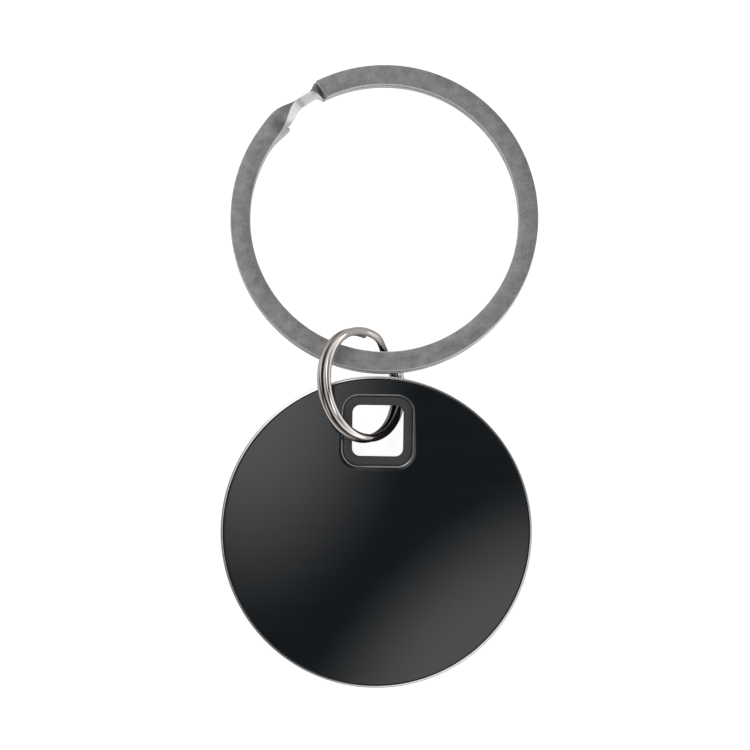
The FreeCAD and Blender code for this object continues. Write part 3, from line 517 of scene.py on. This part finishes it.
# ---------------------------------------------------------------- materials
def new_material(name):
    material = bpy.data.materials.new(name)
    material.use_nodes = True
    tree = material.node_tree
    shader = tree.nodes["Principled BSDF"]
    return material, tree, shader


def add_node(tree, kind, **values):
    """New node, with values for its sockets or, where no socket has the name, its settings."""
    node = tree.nodes.new(kind)
    for name, value in values.items():
        if name in node.inputs:
            node.inputs[name].default_value = value
        else:
            setattr(node, name, value)
    return node


def math_node(tree, operation, first, second=0.0):
    """Result of an operation on two values, each a number or another node's output."""
    node = add_node(tree, "ShaderNodeMath", operation=operation)
    for socket, value in zip(node.inputs, (first, second)):
        if isinstance(value, (int, float)):
            socket.default_value = value
        else:
            tree.links.new(value, socket)
    return node.outputs[0]


def dot_product(tree, direction, vector):
    node = add_node(tree, "ShaderNodeVectorMath", operation="DOT_PRODUCT")
    tree.links.new(direction, node.inputs[0])
    node.inputs[1].default_value = vector
    return node.outputs["Value"]


def object_coordinates(tree, stretch=(1, 1, 1)):
    """Position on the piece in millimetres, stretched for grain that runs one way."""
    source = add_node(tree, "ShaderNodeTexCoord")
    mapping = add_node(tree, "ShaderNodeMapping")
    mapping.inputs["Scale"].default_value = [MM_PER_METRE * value for value in stretch]
    tree.links.new(source.outputs["Object"], mapping.inputs["Vector"])
    return mapping.outputs["Vector"]


def round_coordinates(tree, across, along):
    """Coordinates that follow a ring about the piece's own Z: angle, radius and height."""
    source = add_node(tree, "ShaderNodeTexCoord")
    split = add_node(tree, "ShaderNodeSeparateXYZ")
    tree.links.new(source.outputs["Object"], split.inputs[0])
    angle = math_node(tree, "ARCTAN2", split.outputs["Y"], split.outputs["X"])
    flat = add_node(tree, "ShaderNodeVectorMath", operation="MULTIPLY")
    flat.inputs[1].default_value = (1, 1, 0)
    tree.links.new(source.outputs["Object"], flat.inputs[0])
    radius = add_node(tree, "ShaderNodeVectorMath", operation="LENGTH")
    tree.links.new(flat.outputs[0], radius.inputs[0])
    joined = add_node(tree, "ShaderNodeCombineXYZ")
    fine = across * MM_PER_METRE
    tree.links.new(math_node(tree, "MULTIPLY", angle, along), joined.inputs["X"])
    tree.links.new(math_node(tree, "MULTIPLY", radius.outputs["Value"], fine), joined.inputs["Y"])
    tree.links.new(math_node(tree, "MULTIPLY", split.outputs["Z"], fine), joined.inputs["Z"])
    return joined.outputs[0]


def noise(tree, vector, scale, detail=4.0, roughness=0.6):
    node = add_node(tree, "ShaderNodeTexNoise", Scale=scale, Detail=detail, Roughness=roughness)
    tree.links.new(vector, node.inputs["Vector"])
    return node.outputs["Fac"]


def spread(tree, value, low, high, start=NOISE_LOW, end=NOISE_HIGH, curve="LINEAR"):
    """Map a value that runs from start to end onto the range from low to high."""
    node = add_node(tree, "ShaderNodeMapRange", interpolation_type=curve)
    for name, number in (("From Min", start), ("From Max", end), ("To Min", low), ("To Max", high)):
        node.inputs[name].default_value = number
    tree.links.new(value, node.inputs["Value"])
    return node.outputs["Result"]


def mix_colours(tree, value, first, second):
    """Colour between two colours by a noise's value."""
    ramp = add_node(tree, "ShaderNodeValToRGB")
    stops = zip(ramp.color_ramp.elements, (NOISE_LOW, NOISE_HIGH), (first, second))
    for stop, position, colour in stops:
        stop.position = position
        stop.color = (*colour, 1)
    tree.links.new(value, ramp.inputs["Fac"])
    return ramp.outputs["Color"]


def add_bump(tree, shader, height, strength, distance):
    bump = add_node(tree, "ShaderNodeBump", Strength=strength, Distance=distance)
    tree.links.new(height, bump.inputs["Height"])
    tree.links.new(bump.outputs["Normal"], shader.inputs["Normal"])


def textured(name, colours, roughness, grain, bump, metallic=0.0, vector=object_coordinates):
    """Moulded, cast or rolled surface: fine grain over slow patches, in colour, roughness and height."""
    material, tree, shader = new_material(name)
    place = vector(tree)
    fine = noise(tree, place, grain, detail=6.0)
    slow = noise(tree, place, WEAR_SCALE, detail=3.0)
    blend = math_node(tree, "MULTIPLY", math_node(tree, "ADD", fine, slow), 0.5)
    tree.links.new(mix_colours(tree, blend, *colours), shader.inputs["Base Color"])
    tree.links.new(spread(tree, slow, *roughness), shader.inputs["Roughness"])
    shader.inputs["Metallic"].default_value = metallic
    shader.inputs["IOR"].default_value = 1.5
    add_bump(tree, shader, fine, bump, GRAIN_DEPTH)
    return material


def plastic(name, dark, light, roughness=(0.42, 0.58), grain=6.0, bump=0.25):
    return textured(name, (dark, light), roughness, grain, bump)


def metal(name, dark, light, roughness=(0.22, 0.38), grain=3.0, bump=0.12):
    return textured(name, (dark, light), roughness, grain, bump, metallic=1.0)


def turned_metal(name, colours, roughness, bump, across, along):
    """Metal whose grain runs round the piece's own Z."""
    def vector(tree):
        return round_coordinates(tree, across, along)

    return textured(name, colours, roughness, 1.0, bump, metallic=1.0, vector=vector)


def gloss_black():
    """Deep black lacquer: mirror gloss with faint wiped smears and a very slight orange peel."""
    material, tree, shader = new_material("face_gloss_black")
    place = object_coordinates(tree)
    smear = noise(tree, object_coordinates(tree, (0.25, 1.0, 1.0)), 0.5, detail=5.0)
    peel = noise(tree, place, 0.6, detail=2.0)
    colour = mix_colours(tree, smear, (0.0094, 0.0126, 0.016), (0.0115, 0.0153, 0.019))
    tree.links.new(colour, shader.inputs["Base Color"])
    tree.links.new(spread(tree, smear, 0.02, 0.06), shader.inputs["Roughness"])
    shader.inputs["IOR"].default_value = 1.52
    add_bump(tree, shader, peel, 0.02, GRAIN_DEPTH)
    return material


def satin_frame():
    return plastic("satin_dark_frame", (0.044, 0.042, 0.042), (0.07, 0.067, 0.067), (0.34, 0.5), 9.0, 0.2)


def bevel_metal():
    """Bare metal where the coated cover's edge was cut back round the aperture."""
    return metal("bevel_bare_metal", (0.3, 0.3, 0.3), (0.46, 0.46, 0.46), (0.16, 0.3), 4.0, 0.1)


def polished_band():
    """Polished metal with a lathe's fine lines running round it."""
    colours = ((0.74, 0.73, 0.72), (0.88, 0.87, 0.86))
    return turned_metal("polished_band", colours, (0.1, 0.2), bump=0.06, across=14.0, along=3.0)


def link_chrome():
    """Plated wire with drawing lines along it, darkened with painted shade where its two coils lie
    together.
    """
    colours = ((0.72, 0.67, 0.64), (0.95, 0.9, 0.87))
    material = turned_metal("link_nickel", colours, (0.04, 0.1), bump=0.08, across=7.0, along=3.0)
    tree = material.node_tree
    shader = tree.nodes["Principled BSDF"]
    plating = shader.inputs["Base Color"].links[0].from_socket
    # painted shade: the plating fades to a dark colour towards the gap between the two coils
    split = add_node(tree, "ShaderNodeSeparateXYZ")
    tree.links.new(object_coordinates(tree), split.inputs[0])
    from_gap = math_node(tree, "ABSOLUTE", split.outputs["Z"])
    mix = add_node(tree, "ShaderNodeMixRGB", Color1=(*PAINTED_GAP_SHADE, 1))
    tree.links.new(spread(tree, from_gap, 0.0, 1.0, *PAINTED_GAP_SHADE_REACH), mix.inputs["Fac"])
    tree.links.new(plating, mix.inputs["Color2"])
    tree.links.new(mix.outputs["Color"], shader.inputs["Base Color"])
    return material


def key_face_steel():
    """Ground flat of the strip: satin grey with a speckled grain."""
    material, tree, shader = new_material("key_ring_satin")
    place = object_coordinates(tree)
    speckle = noise(tree, place, 7.0, detail=8.0, roughness=0.75)
    patches = noise(tree, place, 0.9, detail=3.0)
    grain = math_node(tree, "MULTIPLY", speckle, SPECKLE_SHARE)
    blend = math_node(tree, "ADD", grain, math_node(tree, "MULTIPLY", patches, 1 - SPECKLE_SHARE))
    colour = mix_colours(tree, blend, (0.16, 0.157, 0.154), (0.58, 0.57, 0.56))
    tree.links.new(colour, shader.inputs["Base Color"])
    tree.links.new(spread(tree, speckle, 0.36, 0.52), shader.inputs["Roughness"])
    shader.inputs["Metallic"].default_value = 1.0
    add_bump(tree, shader, speckle, 0.35, 0.012 * MM)
    return material


def key_edge_steel():
    """Burnished sides and corners of the strip, brighter than its ground flats."""
    colours = ((0.92, 0.91, 0.9), (1.0, 0.99, 0.98))
    return turned_metal("key_ring_burnished", colours, (0.36, 0.5), bump=0.12, across=8.0, along=4.0)


def board_laminate():
    """Solder mask with raised tracks under it."""
    material, tree, shader = new_material("board_mask")
    place = object_coordinates(tree)
    mask = dict(Color1=(0.004, 0.045, 0.022, 1), Color2=(0.005, 0.06, 0.03, 1))
    tracks = add_node(tree, "ShaderNodeTexBrick", Scale=0.9, Mortar=(0.02, 0.14, 0.07, 1), **mask)
    tracks.inputs["Mortar Size"].default_value = 0.03
    tree.links.new(place, tracks.inputs["Vector"])
    tree.links.new(tracks.outputs["Color"], shader.inputs["Base Color"])
    grain = noise(tree, place, 4.0)
    tree.links.new(spread(tree, grain, 0.25, 0.4), shader.inputs["Roughness"])
    add_bump(tree, shader, tracks.outputs["Fac"], 0.3, 0.02 * MM)
    return material


def wear_material(piece, *materials):
    """Put on materials; clearing an empty list would also forget which face wears which."""
    if len(piece.data.materials):
        piece.data.materials.clear()
    for material in materials:
        piece.data.materials.append(material)


def dress_cad_nodes():
    """Give every carried-over CAD node its own worked material."""
    casing = plastic("casing_black", (0.012, 0.013, 0.014), (0.022, 0.023, 0.025))
    door = plastic("door_black", (0.014, 0.015, 0.016), (0.026, 0.027, 0.03), (0.36, 0.5))
    plated = metal("plated_steel", (0.5, 0.5, 0.48), (0.72, 0.72, 0.7))
    gold = metal("gold_flash", (0.55, 0.42, 0.2), (0.8, 0.64, 0.34))
    resin = plastic("chip_resin", (0.012, 0.012, 0.013), (0.03, 0.03, 0.032), (0.5, 0.7), 12.0)
    ceramic = plastic("fired_ceramic", (0.62, 0.6, 0.55), (0.78, 0.76, 0.72), (0.35, 0.5), 10.0)
    brown = plastic("capacitor_body", (0.28, 0.2, 0.13), (0.45, 0.34, 0.24), (0.4, 0.55), 10.0)
    looks = {
        "back_housing": casing, "battery_door": door, "coin_cell_can": plated, "coin_cell_cap": plated,
        "crystals": plated, "switch_cover": plated, "switch_dome": plated, "negative_contact": gold,
        "positive_contact": gold, "buzzer_springs": gold, "radio_chip": resin, "switch_tray": resin,
        "chip_antenna": ceramic, "buzzer_ceramic": ceramic, "passive_parts": brown,
        "buzzer_disc": metal("rolled_brass", (0.6, 0.42, 0.16), (0.78, 0.58, 0.26)),
        "face_gasket": plastic("gasket_silicone", (0.03, 0.03, 0.03), (0.06, 0.06, 0.06), (0.6, 0.75)),
        "coin_cell_seal": plastic("seal_nylon", (0.6, 0.58, 0.52), (0.75, 0.73, 0.68)),
        "switch_plunger": plastic("plunger_white", (0.55, 0.53, 0.5), (0.7, 0.68, 0.65)),
        "circuit_board": board_laminate(),
    }
    for name, material in looks.items():
        wear_material(frame["nodes"][name], material)


# ---------------------------------------------------------------- object
def build_object():
    cover = make_face_cover()
    wear_material(cover, gloss_black(), bevel_metal())
    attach(cover, "face")
    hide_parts("face_plate")

    liner = make_hole_liner()
    wear_material(liner, satin_frame())
    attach(liner, "tag")
    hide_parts("hole_frame")

    band = make_edge_band()
    wear_material(band, polished_band())
    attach(band, "tag")
    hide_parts("edge_band")

    link = make_link_ring()
    wear_material(link, link_chrome())
    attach(link, "link_ring")
    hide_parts("link_ring")

    key = make_key_ring()
    wear_material(key, key_face_steel(), key_edge_steel())
    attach(key, "key_ring")
    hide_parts("key_ring")

    dress_cad_nodes()


# ---------------------------------------------------------------- studio
def make_floor():
    """White floor that glows a little for the camera, as a lit table does."""
    half = FLOOR_SIZE / 2
    corners = [(-half, -half, 0), (half, -half, 0), (half, half, 0), (-half, half, 0)]
    floor = object_from("floor", corners, [(0, 1, 2, 3)], smooth=False)
    floor.location.z = -FLOOR_DROP
    material, tree, shader = new_material("pale_floor")
    tone = noise(tree, object_coordinates(tree), 0.02, detail=2.0)
    colour = mix_colours(tree, tone, (0.78, 0.78, 0.78), (0.8, 0.8, 0.8))
    tree.links.new(colour, shader.inputs["Base Color"])
    shader.inputs["Roughness"].default_value = 0.8
    shader.inputs["Specular IOR Level"].default_value = 0.1
    shader.inputs["Emission Color"].default_value = (1, 1, 1, 1)
    rays = add_node(tree, "ShaderNodeLightPath")
    glow = math_node(tree, "MULTIPLY", rays.outputs["Is Camera Ray"], FLOOR_GLOW)
    tree.links.new(glow, shader.inputs["Emission Strength"])
    wear_material(floor, material)


def soft_box(tree, direction, distance, towards, slide, half_long, half_deep, level):
    """Glow of a soft box whose middle lies off the zenith, with a wide soft edge."""
    out = Vector((math.cos(math.radians(towards)), math.sin(math.radians(towards)), 0))
    side = Vector((out.y, -out.x, 0))
    squares = []
    for axis, middle, half in ((out, distance, half_deep), (side, slide, half_long)):
        offset = math_node(tree, "SUBTRACT", dot_product(tree, direction, axis), middle)
        share = math_node(tree, "DIVIDE", offset, half)
        squares.append(math_node(tree, "MULTIPLY", share, share))
    reach = math_node(tree, "SQRT", math_node(tree, "ADD", *squares))
    return spread(tree, reach, 0.0, level, start=1.0, end=SOFT_CORE, curve="SMOOTHSTEP")


def make_world():
    """White tent, dark overhead, with two soft boxes beside the camera and a flag on the left."""
    world = bpy.data.worlds.new("studio")
    bpy.context.scene.world = world
    world.use_nodes = True
    tree = world.node_tree
    background = tree.nodes["Background"]
    background.inputs["Color"].default_value = (1, 1, 1, 1)
    direction = add_node(tree, "ShaderNodeTexCoord").outputs["Generated"]
    low = math_node(tree, "SUBTRACT", 1.0, dot_product(tree, direction, UP))
    low = math_node(tree, "POWER", low, TENT_RISE)
    sideways = dot_product(tree, direction, Vector((TENT_SIDEWAYS, 0, 0)))
    light = math_node(tree, "MULTIPLY", low, math_node(tree, "ADD", sideways, TENT_LEVEL))
    light = math_node(tree, "ADD", light, OVERHEAD_LEVEL)
    for box in SOFT_BOXES:
        light = math_node(tree, "ADD", light, soft_box(tree, direction, **box))
    unflagged = math_node(tree, "SUBTRACT", 1.0, soft_box(tree, direction, **FLAG))
    light = math_node(tree, "MULTIPLY", light, unflagged)
    rays = add_node(tree, "ShaderNodeLightPath")
    mix = add_node(tree, "ShaderNodeMix", data_type="FLOAT")
    tree.links.new(rays.outputs["Is Camera Ray"], mix.inputs["Factor"])
    tree.links.new(light, mix.inputs["A"])
    mix.inputs["B"].default_value = 1.0
    tree.links.new(mix.outputs["Result"], background.inputs["Strength"])


def make_camera():
    """Camera that looks straight down, far enough away for little perspective."""
    data = bpy.data.cameras.new("camera")
    data.sensor_width = SENSOR_WIDTH
    data.lens = SENSOR_WIDTH * (CAMERA_HEIGHT - CAMERA_OVER.z) / PICTURE_WIDTH
    data.clip_start = 0.01
    data.clip_end = 20.0
    camera = bpy.data.objects.new("camera", data)
    bpy.context.scene.collection.objects.link(camera)
    camera.location = (CAMERA_OVER.x, CAMERA_OVER.y, CAMERA_HEIGHT)
    camera.rotation_euler = (0, 0, CAMERA_ROLL)
    bpy.context.scene.camera = camera


build_object()
make_floor()
make_world()
make_camera()
bpy.context.scene.view_settings.view_transform = "Standard"
